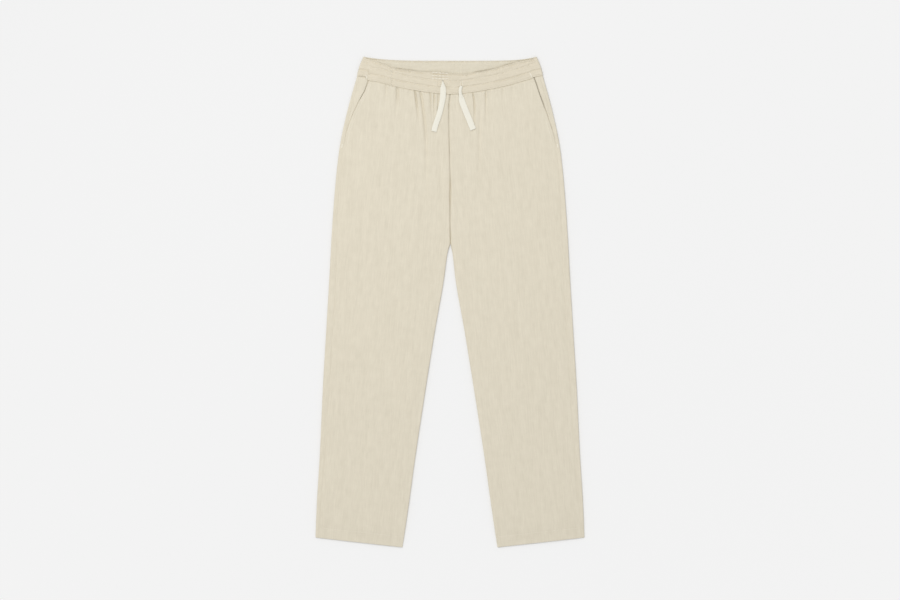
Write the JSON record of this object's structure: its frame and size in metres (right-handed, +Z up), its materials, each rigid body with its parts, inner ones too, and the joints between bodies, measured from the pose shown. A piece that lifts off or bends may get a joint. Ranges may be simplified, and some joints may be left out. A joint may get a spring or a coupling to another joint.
{
  "type": "linen drawstring trousers",
  "caption": "Straight-leg linen trousers laid flat, front up, with a gathered elastic waistband, a flat drawstring and slanted hip pockets.",
  "frame": {"origin": "middle of the garment's outline, on the surface that it lies on", "axes": "+Z up, away from that surface, on the trousers' front side; +Y toward the waist; +X toward the wearer's left"},
  "size_m": [0.5836, 1.064, 0.008],
  "materials": {
    "linen": "woven, matte",
    "linen_inside": "woven, matte, inner face",
    "drawstring_cotton": "flat braid, matte"
  },
  "bodies": {
    "root": {"front_leg_right": "linen", "front_leg_left": "linen", "back_leg_right": "linen", "back_leg_left": "linen", "pocket_facing_right": "linen", "pocket_facing_left": "linen", "waistband_front": "linen", "waistband_back": "linen_inside", "drawstring_right": "drawstring_cotton", "drawstring_left": "drawstring_cotton"}
  },
  "joints": []
}
